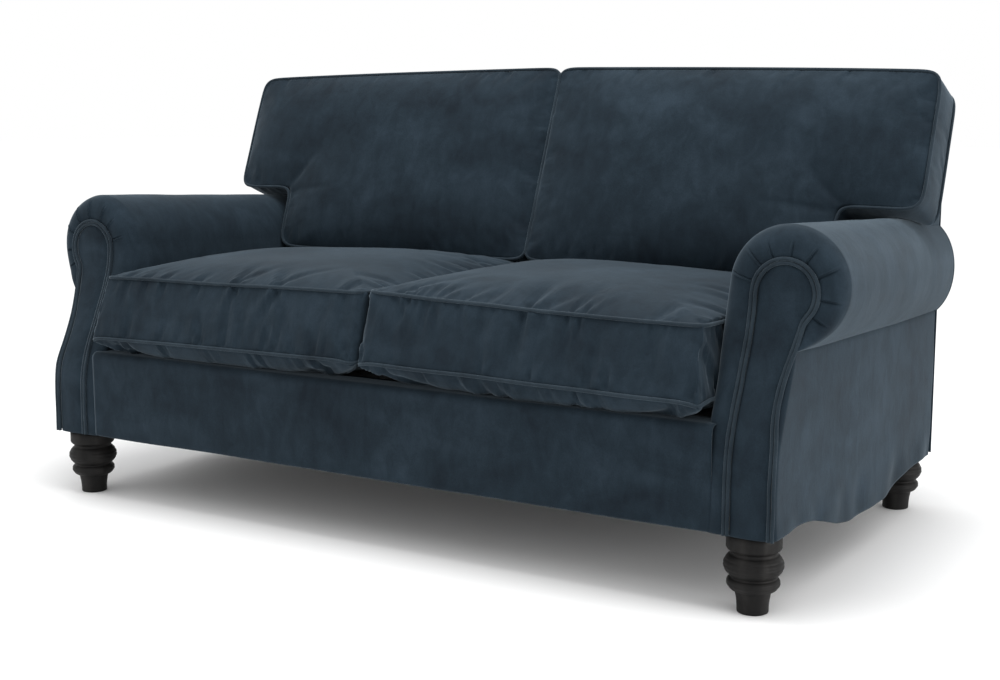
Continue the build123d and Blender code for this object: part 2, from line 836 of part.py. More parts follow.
export_pair("arm_facing", arm_facing())
export_pair("arm_double_piping", arm_piping())
export_pair("outside_arm_panel", outside_arm_panel())
export_part("inside_back_pad", inside_back_foam())
export_part("back_cover", back_cover())
export_part("outside_back_panel", outside_back_panel())
export_part("dust_cover", dust_cover())
export_pair("seat_cushion_cover", seat_cushion(0) - seat_cushion(cloth))
export_pair("seat_cushion_core", seat_cushion(cloth + lining_gap))
export_pair("seat_cushion_piping", seat_piping())
export_pair("seat_cushion_zip", seat_zip())
export_pair("seat_zip_slider", seat_slider())
export_pair("back_cushion_cover", back_cushion(0) - back_cushion(cloth))
export_pair("back_cushion_core", back_cushion(cloth + lining_gap))
export_pair("back_cushion_piping", back_piping())
export_pair("back_cushion_zip", back_zip())
export_pair("back_zip_slider", back_slider())
export_pair("leg_front", leg(leg_front))
export_pair("leg_rear", leg(leg_rear))
export_part("leg_bolts", corners(leg_bolt))
export_part("leg_tee_nuts", corners(leg_nut))
export_part("leg_glides", corners(leg_glide))
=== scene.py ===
import json
from math import cos, pi, radians, sin

import bpy
import numpy as np
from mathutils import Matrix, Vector
from mathutils.kdtree import KDTree


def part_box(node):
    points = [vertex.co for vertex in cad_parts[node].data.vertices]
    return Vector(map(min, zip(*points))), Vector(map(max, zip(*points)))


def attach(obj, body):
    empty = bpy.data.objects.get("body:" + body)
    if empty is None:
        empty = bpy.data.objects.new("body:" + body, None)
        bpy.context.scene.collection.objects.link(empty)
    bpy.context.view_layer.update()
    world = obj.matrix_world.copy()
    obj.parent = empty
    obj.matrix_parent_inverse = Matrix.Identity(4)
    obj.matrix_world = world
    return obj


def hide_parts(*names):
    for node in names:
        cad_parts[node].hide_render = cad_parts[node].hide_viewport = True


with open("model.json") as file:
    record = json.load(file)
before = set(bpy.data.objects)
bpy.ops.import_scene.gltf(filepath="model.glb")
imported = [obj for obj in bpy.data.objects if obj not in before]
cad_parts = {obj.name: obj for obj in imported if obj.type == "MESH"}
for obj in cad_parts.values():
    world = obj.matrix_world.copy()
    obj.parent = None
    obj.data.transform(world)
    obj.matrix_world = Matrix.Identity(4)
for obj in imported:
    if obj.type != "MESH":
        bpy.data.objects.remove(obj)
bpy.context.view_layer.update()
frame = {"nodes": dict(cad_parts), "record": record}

scene = bpy.context.scene

# --- Places read from the frame --------------------------------------------------------------
rail_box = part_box("front_rail_cover")
side_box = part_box("outside_arm_panel_right")
back_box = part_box("outside_back_panel")
cover_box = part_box("arm_cover_right")
inside_back_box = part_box("back_cover")
front_y, base_z = rail_box[0][1], rail_box[0][2]
arm_inner = rail_box[1][0]
half_base, rear_y = side_box[1][0], back_box[1][1]
deck_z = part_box("deck_cover")[1][2]
back_top_z = back_box[1][2]
roll_top_front = cover_box[1][2]

# --- Shapes that the boxes don't give --------------------------------------------------------
RAKE_START, RAKE_END, RAKE_DEPTH, RAKE_SOFT = 0.290, 0.500, 0.098, 0.022
ROLL_FRONT = (0.107, 0.107, 0.107)          # inner, outer and upright half-widths of the roll
ROLL_REAR = (0.095, 0.072, 0.1045)
ROLL_X = (0.8085, 0.803)                    # its middle, at the front and at the back
ROLL_Z = (0.5490, 0.5145)                   # and that middle's height
FACING_INSET, FACING_MARGIN, FACING_WAIST = 0.039, 0.007, 0.010
HEAD_RADIUS, HEAD_DROP = 0.056, 0.1145
LEAN = radians(21.5)
CORD = 0.0034                               # radius of the piping
PILE_CLOTH, WADDING_DEPTH = 0.002, 0.010    # thickness of the sewn velvet and of the foam under it
SEAM_REACH = 0.0022                         # how far a seam's piping stands out from it


def rake(z):
    """How far the arm's front stands back at height z: upright, then sloping, then upright."""
    ramp = lambda edge: RAKE_SOFT * np.logaddexp(0, (z - edge) / RAKE_SOFT)
    return (ramp(RAKE_START) - ramp(RAKE_END)) * RAKE_DEPTH / (RAKE_END - RAKE_START)


def roll_at(y):
    """Middle (x, z) of the arm roll at depth y, then its inner, outer and upright half-widths."""
    share = (y - front_y - RAKE_DEPTH) / (rear_y - front_y - RAKE_DEPTH)
    blend = lambda pair: pair[0] + share * (pair[1] - pair[0])
    return (blend(ROLL_X), blend(ROLL_Z), *(blend(pair) for pair in zip(ROLL_FRONT, ROLL_REAR)))


def roll_top(x, y):
    """Height of the roll's upper surface over (x, y), with x measured outwards."""
    middle, z, inner, outer, tall = roll_at(y)
    reach = np.where(x < middle, inner, outer)
    return z + tall * np.sqrt(np.clip(1 - ((x - middle) / reach) ** 2, 0, None))


def inside_back(z):
    """Y of the inside back at height z."""
    return inside_back_box[0][1] + (z - inside_back_box[0][2]) * np.tan(LEAN)


# --- Mesh helpers ----------------------------------------------------------------------------
class Wobble:
    """Smooth, repeatable unevenness: a sum of waves in fixed random directions."""

    def __init__(self, seed, size, waves=9):
        draw = np.random.default_rng(seed)
        direction = draw.normal(size=(waves, 3))
        direction /= np.linalg.norm(direction, axis=1)[:, None]
        self.k = direction * (2 * pi / (size * draw.uniform(0.6, 1.7, waves)))[:, None]
        self.phase = draw.uniform(0, 2 * pi, waves)

    def __call__(self, points):
        return np.sin(points @ self.k.T + self.phase).mean(axis=-1) * 1.6


def make_object(name, points, faces, material, body="frame", smooth=True):
    mesh = bpy.data.meshes.new(name)
    mesh.from_pydata([tuple(p) for p in np.asarray(points, float).reshape(-1, 3)], [], faces)
    mesh.validate()
    obj = bpy.data.objects.new(name, mesh)
    scene.collection.objects.link(obj)
    mesh.materials.append(material)
    if smooth:
        mesh.shade_smooth()
    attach(obj, body)
    return obj


def grid_faces(rows, cols, close_cols=False, close_rows=False, flip=False):
    """Quads of a rows by cols grid of points numbered row by row."""
    faces = []
    for i in range(rows - (0 if close_rows else 1)):
        for j in range(cols - (0 if close_cols else 1)):
            a, b = i * cols + j, i * cols + (j + 1) % cols
            c, d = ((i + 1) % rows) * cols + (j + 1) % cols, ((i + 1) % rows) * cols + j
            faces.append((a, d, c, b) if flip else (a, b, c, d))
    return faces


def vertex_normals(obj):
    normals = np.empty(len(obj.data.vertices) * 3)
    obj.data.vertex_normals.foreach_get("vector", normals)
    return normals.reshape(-1, 3)


def add_modifier(obj, kind, **settings):
    modifier = obj.modifiers.new(kind.title(), kind)
    for key, value in settings.items():
        setattr(modifier, key, value)
    return modifier


def resample(path, step, closed=False):
    """Points evenly spaced along a polyline."""
    path = np.asarray(path, float)
    if closed:
        path = np.vstack([path, path[:1]])
    length = np.concatenate([[0], np.cumsum(np.linalg.norm(np.diff(path, axis=0), axis=1))])
    count = max(4, int(round(length[-1] / step)))
    at = np.linspace(0, length[-1], count + 1)
    if closed:
        at = at[:-1]
    return np.stack([np.interp(at, length, path[:, k]) for k in range(path.shape[1])], axis=1)


def soften(path, times, closed=False):
    """Path with its corners eased by averaging neighbours."""
    path = np.array(path, float)
    for _ in range(times):
        before, after = np.roll(path, 1, axis=0), np.roll(path, -1, axis=0)
        eased = (before + 2 * path + after) / 4
        if not closed:
            eased[0], eased[-1] = path[0], path[-1]
        path = eased
    return path


def smooth_step(t):
    t = np.clip(t, 0, 1)
    return t * t * (3 - 2 * t)


def hand(side):
    return "right" if side > 0 else "left"


def mirrored(rows, side):
    """Rows of points made for the right-hand side, joined and put on either side."""
    return np.concatenate(rows) * (side, 1, 1)


def thicken(obj, thickness):
    """Gives a sheet its thickness, inwards from its face."""
    add_modifier(obj, "SOLIDIFY", thickness=thickness, offset=-1)


def tube(name, path, radius, material, body="frame", closed=False, sides=10):
    """Cord of round section along a path."""
    path = np.asarray(path, float)
    if closed:
        along = np.roll(path, -1, axis=0) - np.roll(path, 1, axis=0)
    else:
        along = np.gradient(path, axis=0)
    along /= np.linalg.norm(along, axis=1)[:, None]
    side = np.cross(along[0], (0.3, 0.5, 0.81))
    frames = []
    for t in along:
        side = side - t * (side @ t)
        side /= np.linalg.norm(side)
        frames.append((side.copy(), np.cross(t, side)))
    angles = np.linspace(0, 2 * pi, sides, endpoint=False)
    rings = [p + radius * (np.cos(angles)[:, None] * a + np.sin(angles)[:, None] * b)
             for p, (a, b) in zip(path, frames)]
    count = len(path)
    if closed:                               # turn the last rings so that the ends meet
        twist = np.arctan2(frames[-1][0] @ frames[0][1], frames[-1][0] @ frames[0][0])
        rings = [p + radius * (np.cos(angles - twist * i / count)[:, None] * a
                               + np.sin(angles - twist * i / count)[:, None] * b)
                 for i, (p, (a, b)) in enumerate(zip(path, frames))]
    faces = grid_faces(count, sides, close_cols=True, close_rows=closed, flip=True)
    if not closed:
        faces += [tuple(range(sides)), tuple(range((count - 1) * sides, count * sides))[::-1]]
    return make_object(name, np.concatenate(rings), faces, material, body)


# --- Materials -------------------------------------------------------------------------------
class Shader:
    """A principled material with a few shorthands for its procedural nodes."""

    def __init__(self, name, roughness=0.6, **sockets):
        self.material = bpy.data.materials.new(name)
        self.material.use_nodes = True
        self.nodes, self.links = self.material.node_tree.nodes, self.material.node_tree.links
        self.shader = self.nodes["Principled BSDF"]
        self.shader.inputs["Roughness"].default_value = roughness
        for key, value in sockets.items():
            self.shader.inputs[key.replace("_", " ")].default_value = value
        self.place = self.nodes.new("ShaderNodeTexCoord").outputs["Object"]

    def texture(self, kind, stretch, **values):
        scaled = self.nodes.new("ShaderNodeMapping")
        scaled.inputs["Scale"].default_value = stretch
        self.links.new(self.place, scaled.inputs["Vector"])
        node = self.nodes.new(kind)
        self.links.new(scaled.outputs["Vector"], node.inputs["Vector"])
        for key, value in values.items():
            node.inputs[key].default_value = value
        return node

    def noise(self, scale, detail=4.0, roughness=0.5, distortion=0.0, stretch=(1, 1, 1)):
        return self.texture("ShaderNodeTexNoise", stretch, Scale=scale, Detail=detail,
                            Roughness=roughness, Distortion=distortion).outputs["Fac"]

    def wave(self, scale, distortion=0.0, direction="X", detail=2.0, stretch=(1, 1, 1)):
        node = self.texture("ShaderNodeTexWave", stretch, Scale=scale, Distortion=distortion,
                            Detail=detail)
        node.bands_direction = direction
        return node.outputs["Fac"]

    def ramp(self, factor, *stops):
        node = self.nodes.new("ShaderNodeValToRGB")
        points = node.color_ramp.elements
        while len(points) < len(stops):
            points.new(0.5)
        for point, (at, colour) in zip(points, stops):
            point.position = at
            point.color = (*colour, 1) if len(colour) == 3 else colour
        self.links.new(factor, node.inputs["Fac"])
        return node.outputs["Color"]

    def math(self, operation, a, b):
        node = self.nodes.new("ShaderNodeMath")
        node.operation = operation
        for socket, value in zip(node.inputs, (a, b)):
            if isinstance(value, (int, float)):
                socket.default_value = value
            else:
                self.links.new(value, socket)
        return node.outputs[0]

    def blend(self, a, share, b):
        return self.math("ADD", self.math("MULTIPLY", a, share), self.math("MULTIPLY", b, 1 - share))

    def mix(self, factor, a, b, blend="MIX"):
        node = self.nodes.new("ShaderNodeMix")
        node.data_type, node.blend_type = "RGBA", blend
        for socket, value in ((node.inputs[0], factor), (node.inputs[6], a), (node.inputs[7], b)):
            if isinstance(value, (int, float)):
                socket.default_value = value
            elif isinstance(value, tuple):
                socket.default_value = (*value, 1)
            else:
                self.links.new(value, socket)
        return node.outputs[2]

    def bump(self, *layers):
        """Stacks (height, strength, distance) layers into the shader's normal."""
        normal = None
        for height, strength, distance in layers:
            node = self.nodes.new("ShaderNodeBump")
            node.inputs["Strength"].default_value = strength
            node.inputs["Distance"].default_value = distance
            self.links.new(height, node.inputs["Height"])
            if normal:
                self.links.new(normal, node.inputs["Normal"])
            normal = node.outputs["Normal"]
        self.links.new(normal, self.shader.inputs["Normal"])

    def colour(self, output):
        self.links.new(output, self.shader.inputs["Base Color"])

    def rough(self, output):
        self.links.new(output, self.shader.inputs["Roughness"])


def velvet(name, dark, mid, light, sheen=0.24):
    """Short-pile velvet: brushed patches, fine pile grain and a soft sheen at the edges."""
    s = Shader(name, roughness=0.85, Sheen_Weight=sheen, Sheen_Roughness=0.38,
               Sheen_Tint=(0.50, 0.62, 0.72, 1), Specular_IOR_Level=0.12)
    brushed = s.noise(5.5, 5, 0.55, 0.5, (1.0, 1.0, 1.5))
    streaks = s.noise(32, 7, 0.62, 0.5, (1.0, 1.0, 0.5))
    grain = s.noise(420, 2, 0.6)
    pile = s.blend(brushed, 0.6, streaks)
    base = s.ramp(pile, (0.34, dark), (0.5, mid), (0.68, light))
    speck = s.ramp(grain, (0.3, (0.80, 0.80, 0.80)), (0.7, (1.2, 1.2, 1.2)))
    s.colour(s.mix(0.6, base, speck, "MULTIPLY"))
    s.bump((streaks, 0.16, 0.003), (s.noise(150, 4, 0.6), 0.25, 0.0008), (grain, 0.35, 0.0004))
    return s.material


def turned_wood():
    """Near-black stained wood with faint grain."""
    s = Shader("dark_turned_wood", roughness=0.55, Specular_IOR_Level=0.16, Coat_Weight=0.03,
               Coat_Roughness=0.4)
    grain = s.noise(38, 8, 0.6, 1.2, (1.0, 1.0, 0.12))
    rings = s.wave(9, 3.5, "X", 4.0, (1.0, 1.0, 0.15))
    tone = s.blend(grain, 0.7, rings)
    s.colour(s.ramp(tone, (0.25, (0.0030, 0.0029, 0.0029)), (0.55, (0.0075, 0.0071, 0.0069)),
                    (0.8, (0.017, 0.016, 0.015))))
    s.rough(s.ramp(s.noise(70, 6, 0.6), (0.3, (0.50,) * 3), (0.7, (0.68,) * 3)))
    s.bump((grain, 0.35, 0.0012), (s.noise(600, 3, 0.5), 0.15, 0.0003))
    return s.material


def frame_wood():
    s = Shader("frame_timber", roughness=0.7, Specular_IOR_Level=0.25)
    grain = s.wave(14, 6.0, "Z", 4.0, (0.25, 1.0, 1.0))
    fibre = s.noise(60, 8, 0.65, 0.3, (0.08, 1.0, 1.0))
    tone = s.blend(grain, 0.45, fibre)
    s.colour(s.ramp(tone, (0.2, (0.30, 0.19, 0.10)), (0.6, (0.46, 0.32, 0.19)),
                    (0.9, (0.58, 0.43, 0.28))))
    s.bump((fibre, 0.4, 0.001))
    return s.material


def cloth(name, dark, light, threads=900.0, roughness=0.85):
    """Plain woven cloth, its threads crossing."""
    s = Shader(name, roughness=roughness, Specular_IOR_Level=0.15, Sheen_Weight=0.15)
    warp = s.wave(threads, 0.4, "X", 1.0)
    weft = s.wave(threads, 0.4, "Y", 1.0)
    rise = s.wave(threads, 0.4, "Z", 1.0)
    weave = s.math("MAXIMUM", s.math("MULTIPLY", warp, rise), s.math("MULTIPLY", weft, rise))
    weave = s.math("MAXIMUM", weave, s.math("MULTIPLY", warp, weft))
    s.colour(s.ramp(s.blend(weave, 0.4, s.noise(9, 5, 0.6)), (0.2, dark), (0.8, light)))
    s.bump((weave, 0.5, 0.0006))
    return s.material


def foam():
    s = Shader("upholstery_foam", roughness=0.95, Specular_IOR_Level=0.1)
    cells = s.noise(350, 5, 0.7)
    s.colour(s.ramp(s.blend(cells, 0.5, s.noise(6, 4)), (0.3, (0.60, 0.53, 0.38)),
                    (0.7, (0.80, 0.75, 0.62))))
    s.bump((cells, 0.6, 0.001))
    return s.material


def metal(name, dark, light, roughness=0.35):
    s = Shader(name, roughness=roughness, Metallic=1.0)
    brushed = s.noise(120, 6, 0.6, 0.2, (0.15, 1.0, 1.0))
    s.colour(s.ramp(brushed, (0.3, dark), (0.7, light)))
    s.rough(s.ramp(s.noise(40, 5), (0.3, (roughness * 0.8,) * 3), (0.7, (roughness * 1.3,) * 3)))
    s.bump((brushed, 0.2, 0.0003))
    return s.material


def plastic():
    s = Shader("black_glide_plastic", roughness=0.5)
    scuffs = s.noise(90, 6, 0.7, 0.4)
    s.colour(s.ramp(scuffs, (0.4, (0.02, 0.02, 0.02)), (0.8, (0.07, 0.07, 0.07))))
    s.bump((scuffs, 0.2, 0.0004))
    return s.material


VELVET = velvet("slate_velvet", (0.0054, 0.0102, 0.0158), (0.0100, 0.0184, 0.0268),
                (0.0184, 0.0306, 0.0434))
# The piping is the same velvet as the rest with its colours painted lighter: a painted highlight for the
# cords catching the light.
PIPING_WITH_PAINTED_HIGHLIGHT = velvet("slate_velvet_piping_painted_highlight", (0.0095, 0.0155, 0.0215), (0.0160, 0.0250, 0.0335),
                (0.0260, 0.0385, 0.0500), sheen=0.35)
WOOD = turned_wood()
TIMBER = frame_wood()
LINING = cloth("black_lining", (0.006, 0.006, 0.007), (0.020, 0.020, 0.022))
WEBBING = cloth("jute_webbing", (0.18, 0.14, 0.09), (0.42, 0.35, 0.25), threads=320.0)
ZIP_TAPE = cloth("zip_tape", (0.010, 0.014, 0.018), (0.025, 0.034, 0.042), threads=600.0)
FOAM = foam()
STEEL = metal("spring_steel", (0.30, 0.31, 0.33), (0.46, 0.47, 0.49))
ZINC = metal("zinc_plate", (0.50, 0.50, 0.48), (0.68, 0.68, 0.66), 0.3)
BRASS = metal("antique_brass", (0.22, 0.16, 0.08), (0.42, 0.33, 0.18), 0.4)
GLIDE = plastic()

SLOT_MATERIALS = {
    "velvet": VELVET, "velvet_piping": PIPING_WITH_PAINTED_HIGHLIGHT, "dark_wood": WOOD, "frame_timber": TIMBER,
    "foam": FOAM, "webbing": WEBBING, "lining_cloth": LINING, "zip_tape": ZIP_TAPE,
    "zip_metal": BRASS, "spring_steel": STEEL, "zinc_steel": ZINC, "glide_plastic": GLIDE,
}
node_slot = {part["node"]: part["material_slot"] for part in frame["record"]["subparts"]}
for node, obj in frame["nodes"].items():
    for holder in obj.material_slots:
        holder.material = SLOT_MATERIALS[node_slot[node]]


# --- Arms ------------------------------------------------------------------------------------
PLEATS = [radians(a) for a in (162, 134, 112, 82, 56, 26, -7, -36)]     # round the scroll's head
facing_in = arm_inner + FACING_INSET
facing_out = half_base - FACING_MARGIN
head_x = facing_in + HEAD_RADIUS
head_z = roll_top_front - HEAD_DROP
NECK_ANGLE = radians(-50)


def facing_edge(grow=0.0, low=None):
    """Facing outline in (x, z), from the foot of its inner edge over the head to the outer foot."""
    low = base_z if low is None else low
    r = HEAD_RADIUS + grow
    inner = [(facing_in - grow, z) for z in np.linspace(low, head_z, 60)]
    head = [(head_x + r * cos(a), head_z + r * sin(a)) for a in np.linspace(pi, NECK_ANGLE, 70)][1:]
    neck = head[-1]
    z = np.linspace(neck[1], RAKE_START, 30)[1:]
    t = (neck[1] - z) / (neck[1] - RAKE_START)
    straight = facing_out + grow
    drawn = FACING_WAIST * np.sin(pi * t) ** 1.2
    side = [(neck[0] + (straight - neck[0]) * smooth_step(s * 1.25) - d, q)
            for s, d, q in zip(t, drawn, z)]
    foot = [(straight, q) for q in np.linspace(RAKE_START, low, 24)[1:]]
    return soften(resample(inner + head + side + foot, 0.0022), 18)


def wall_x(z, y):
    """X of the arm's inner wall: upright at its foot, swelling out to meet the roll."""
    x, z_roll, inner, _, _ = roll_at(y)
    bulge = (x - inner - arm_inner) - 0.004
    return arm_inner + bulge * smooth_step((z - 0.25) / (z_roll - 0.06 - 0.25))


def arm_ring(y, wall, arc, low):
    """Points of the arm's outline at depth y: up the inner wall, then round the roll."""
    x, z, inner, outer, tall = roll_at(y)
    end = -np.arccos(np.clip((half_base - x) / outer, -1, 1))
    heights = np.linspace(low, z - 0.02, wall, endpoint=False)
    wall_points = np.stack([wall_x(heights, y), heights], axis=1)
    angles = np.linspace(pi, end, arc)
    reach = np.where(np.cos(angles) < 0, inner, outer)
    roll_points = np.stack([x + reach * np.cos(angles), z + tall * np.sin(angles)], axis=1)
    return soften(np.concatenate([wall_points, roll_points]), 12)


def build_arm(side):
    """Velvet of one arm: inner wall, roll and the pleated border round the facing."""
    wall, arc, band, depth = 76, 380, 26, 96
    count = wall + arc
    ring = arm_ring(front_y + RAKE_DEPTH, wall, arc, base_z)
    # the facing point that each outline point is gathered towards
    edge = facing_edge(-0.001)
    target = np.empty_like(ring)
    # level with each other up the wall, then in step round the head to the outer neck
    first = np.argmin(abs(edge[:, 1] - head_z) + 10 * (edge[:, 0] > head_x))
    last = np.argmin(abs(edge[:, 1] - ring[-1, 1]) + 10 * (edge[:, 0] < head_x))
    step = int(np.argmax(ring[:, 1] > head_z - 0.01))
    target[:step, 1] = ring[:step, 1]
    target[:step, 0] = np.interp(ring[:step, 1], edge[:first, 1], edge[:first, 0])
    target[step:] = edge[np.linspace(first, last, count - step).round().astype(int)]
    target = soften(target, 20)
    gap = np.linalg.norm(target - ring, axis=1)
    high = smooth_step((ring[:, 1] - deck_z + 0.01) / 0.10)
    edge_depth = 0.007 + high * (np.clip(0.62 * gap, 0, 0.030) - 0.007)
    puff = 0.0035 + high * 0.0045
    uneven, dents = Wobble(11 + side, 0.22), Wobble(31 + side, 0.07)
    rows = []
    # border, from under the piping out to the rolled edge, pleated round the head
    for w in np.linspace(0, 1, band):
        turn = w * pi / 2
        xz = target + (ring - target) * sin(turn)
        y = front_y + rake(xz[:, 1]) + edge_depth * (1 - cos(turn)) - 0.002
        y = y - puff * sin(pi * min(1, w * 1.15)) ** 0.8
        angle = np.arctan2(xz[:, 1] - head_z, xz[:, 0] - head_x)
        fold = np.zeros(count)
        for n, pleat in enumerate(PLEATS):
            off = (angle - pleat - 0.12 * sin(3.1 * n) * w + pi) % (2 * pi) - pi
            length = 0.62 + 0.16 * sin(5.3 * n + side)
            crease = -np.exp(-(off / 0.016) ** 2) + 1.1 * np.exp(-((off - 0.030) / 0.016) ** 2)
            fold += crease * (1 - smooth_step((w - length + 0.25) / 0.25))
        y = y - 0.0030 * fold * smooth_step((xz[:, 1] - head_z + 0.075) / 0.03)
        rows.append(np.stack([xz[:, 0], y, xz[:, 1]], axis=1))
    # body, from the rolled edge to the back
    for t in np.linspace(0, 1, depth)[1:]:
        y_rear = rear_y - 0.003
        start = front_y + rake(ring[:, 1]) + edge_depth - 0.002
        y = start + (y_rear - start) * t
        low = base_z + (deck_z - 0.03 - base_z) * smooth_step(t * 14)
        here = arm_ring(front_y + RAKE_DEPTH + (y_rear - front_y - RAKE_DEPTH) * t, wall, arc, low)
        points = np.stack([here[:, 0], y, here[:, 1]], axis=1)
        normal = points[:, [0, 2]] - (ROLL_X[1], ROLL_Z[1])
        normal /= np.linalg.norm(normal, axis=1)[:, None]
        push = 0.0010 * (1 + uneven(points)) + 0.0003 * dents(points)
        push *= smooth_step(t * 6) * smooth_step((points[:, 2] - base_z - 0.1) / 0.2)
        points[:, 0] += normal[:, 0] * push
        points[:, 2] += normal[:, 1] * push
        rows.append(points)
    points = mirrored(rows, side)
    word = hand(side)
    obj = make_object(f"arm_velvet_{word}", points, grid_faces(len(rows), count, flip=side < 0), VELVET)
    # the wadding lies under the body of the cover, above the deck
    above = int(np.argmax(ring[:, 1] > deck_z + 0.02))
    inside = (points - 0.007 * vertex_normals(obj)).reshape(len(rows), count, 3)
    inside = inside[band + 4:-2, above:-14]
    wadding = make_object(f"arm_wadding_{word}", inside,
                          grid_faces(*inside.shape[:2], flip=side < 0), FOAM)
    thicken(wadding, WADDING_DEPTH)
    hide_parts(f"arm_pad_{word}")
    thicken(obj, PILE_CLOTH)
    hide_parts(f"arm_cover_{word}")


def build_facing(side):
    """Flat velvet facing with its slight crown, and two cords round it."""
    word = hand(side)
    edge = facing_edge(-0.0055)
    top = np.argmax(edge[:, 1])
    left, right = edge[: top + 1], edge[top:][::-1]
    heights = np.concatenate([np.linspace(base_z, edge[top, 1] - 0.03, 110),
                              edge[top, 1] - 0.03 * (1 - np.linspace(0, 1, 24)[1:]) ** 2])
    heights[-1] -= 0.00005
    uneven, across = Wobble(51 + side, 0.12), 22
    rows = []
    for z in heights:
        x0 = np.interp(z, left[:, 1], left[:, 0])
        x1 = np.interp(z, right[:, 1], right[:, 0])
        s = np.linspace(0, 1, across)
        x = x0 + (x1 - x0) * s
        crown = 0.0045 * (1 - np.abs(2 * s - 1) ** 2.4) * min(1, (x1 - x0) / 0.05)
        y = front_y + rake(np.full_like(x, z)) - 0.004 - crown
        points = np.stack([x, y, np.full_like(x, z)], axis=1)
        points[:, 1] += 0.0010 * uneven(points)
        rows.append(points)
    facing = make_object(f"arm_facing_velvet_{word}", mirrored(rows, side),
                         grid_faces(len(rows), across, flip=side < 0), VELVET)
    thicken(facing, 0.003)
    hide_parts(f"arm_facing_{word}")
    for n, grow in enumerate((-CORD, CORD)):
        path = facing_edge(grow, base_z + 0.001)
        ripple = Wobble(71 + n + side, 0.05)
        line = np.stack([path[:, 0], front_y + rake(path[:, 1]) - 0.0075, path[:, 1]], axis=1)
        line[:, 0] += 0.0006 * ripple(line)
        line[:, 0] *= side
        cord = tube(f"facing_cord_{'inner' if n == 0 else 'outer'}_{word}", resample(line, 0.004),
                    CORD, PIPING_WITH_PAINTED_HIGHLIGHT)
        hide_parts(f"arm_double_piping_{word}")


def build_scroll_board(side):
    """Timber board that the facing is tacked to, its edge well inside the padding."""
    word = hand(side)
    outline = resample(facing_edge(-0.004, base_z + 0.004), 0.006)
    count = len(outline)
    layers = []
    for back, inset in ((0.0045, 0.0015), (0.0060, 0.0), (0.0200, 0.0), (0.0215, 0.0015)):
        x = outline[:, 0] - inset * np.sign(outline[:, 0] - outline[:, 0].mean())
        y = front_y + rake(outline[:, 1]) + back
        layers.append(np.stack([x * side, y, outline[:, 1]], axis=1))
    faces = grid_faces(len(layers), count, close_cols=True, flip=side > 0)
    front, rear = tuple(range(count)), tuple(range((len(layers) - 1) * count, len(layers) * count))
    faces += [front, rear[::-1]] if side > 0 else [front[::-1], rear]
    obj = make_object(f"scroll_board_{word}", np.concatenate(layers), faces, TIMBER,
                      smooth=False)
    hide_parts(f"arm_scroll_board_{word}")


# Hem of the outside arm panel: depth behind the arm's front, and height
HEM = [(0.0, 0.1420), (0.11, 0.1430), (0.155, 0.1400), (0.215, 0.1250), (0.30, 0.1000),
       (0.37, 0.0885), (0.47, 0.0880), (0.565, 0.0860), (0.645, 0.0965), (0.71, 0.1110),
       (0.81, 0.1180), (0.90, 0.1125)]


def build_side_panel(side):
    """Outside arm: taut above, hanging loose below the frame, its hem sagging."""
    word = hand(side)
    cols, wrap, rows_n = 150, 9, 84
    hem = soften(resample(HEM, 0.01), 8)
    edge = facing_edge(0.001)
    outer = edge[np.argmax(edge[:, 1]):][::-1]
    uneven, folds = Wobble(91 + side, 0.22), Wobble(93 + side, 0.07)
    grid = []
    for v in np.linspace(0, 1, rows_n):
        depth = np.linspace(0, 1, cols) ** 0.92 * (rear_y - front_y)
        low = np.interp(depth, hem[:, 0], hem[:, 1])
        x, z_c, _, reach, tall = roll_at(front_y + depth)
        high = z_c - tall * np.sqrt(1 - ((half_base - x) / reach) ** 2) + 0.004
        high += 0.006 * np.exp(-((depth / 0.02) ** 2))
        z = low + (high - low) * v
        y = front_y + 0.006 + rake(z) + (rear_y - front_y - 0.006 - rake(z)) * depth / depth[-1]
        loose = smooth_step((base_z + 0.05 - z) / 0.07)
        x = np.full(cols, half_base - 0.003)
        points = np.stack([x, y, z], axis=1)
        points[:, 0] += 0.0012 * uneven(points) * smooth_step(depth / 0.1)
        wave = np.sin(2 * pi * depth / 0.26 + 1.3 * side) + 0.4 * np.sin(2 * pi * depth / 0.113)
        points[:, 0] += loose * (0.0022 * wave + 0.0016 * folds(points) + 0.001)
        # turned in at the back corner and under the roll
        points[:, 0] -= 0.006 * np.exp(-(((rear_y - front_y - depth) / 0.006) ** 2))
        points[:, 0] -= 0.007 * np.exp(-(((1 - v) / 0.02) ** 2))
        # round the front corner to the piping
        turn = np.linspace(pi / 2, 0, wrap, endpoint=False)
        x_cord = np.interp(z[0], outer[:, 1], outer[:, 0])
        corner = np.stack([points[0, 0] - (points[0, 0] - x_cord) * (1 - np.cos(turn)),
                           points[0, 1] - 0.008 * np.sin(turn), np.full(wrap, z[0])], axis=1)
        grid.append(np.concatenate([corner, points]))
    obj = make_object(f"outside_arm_velvet_{word}", mirrored(grid, side),
                      grid_faces(rows_n, cols + wrap, flip=side > 0), VELVET)
    thicken(obj, PILE_CLOTH)
    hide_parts(f"outside_arm_panel_{word}")


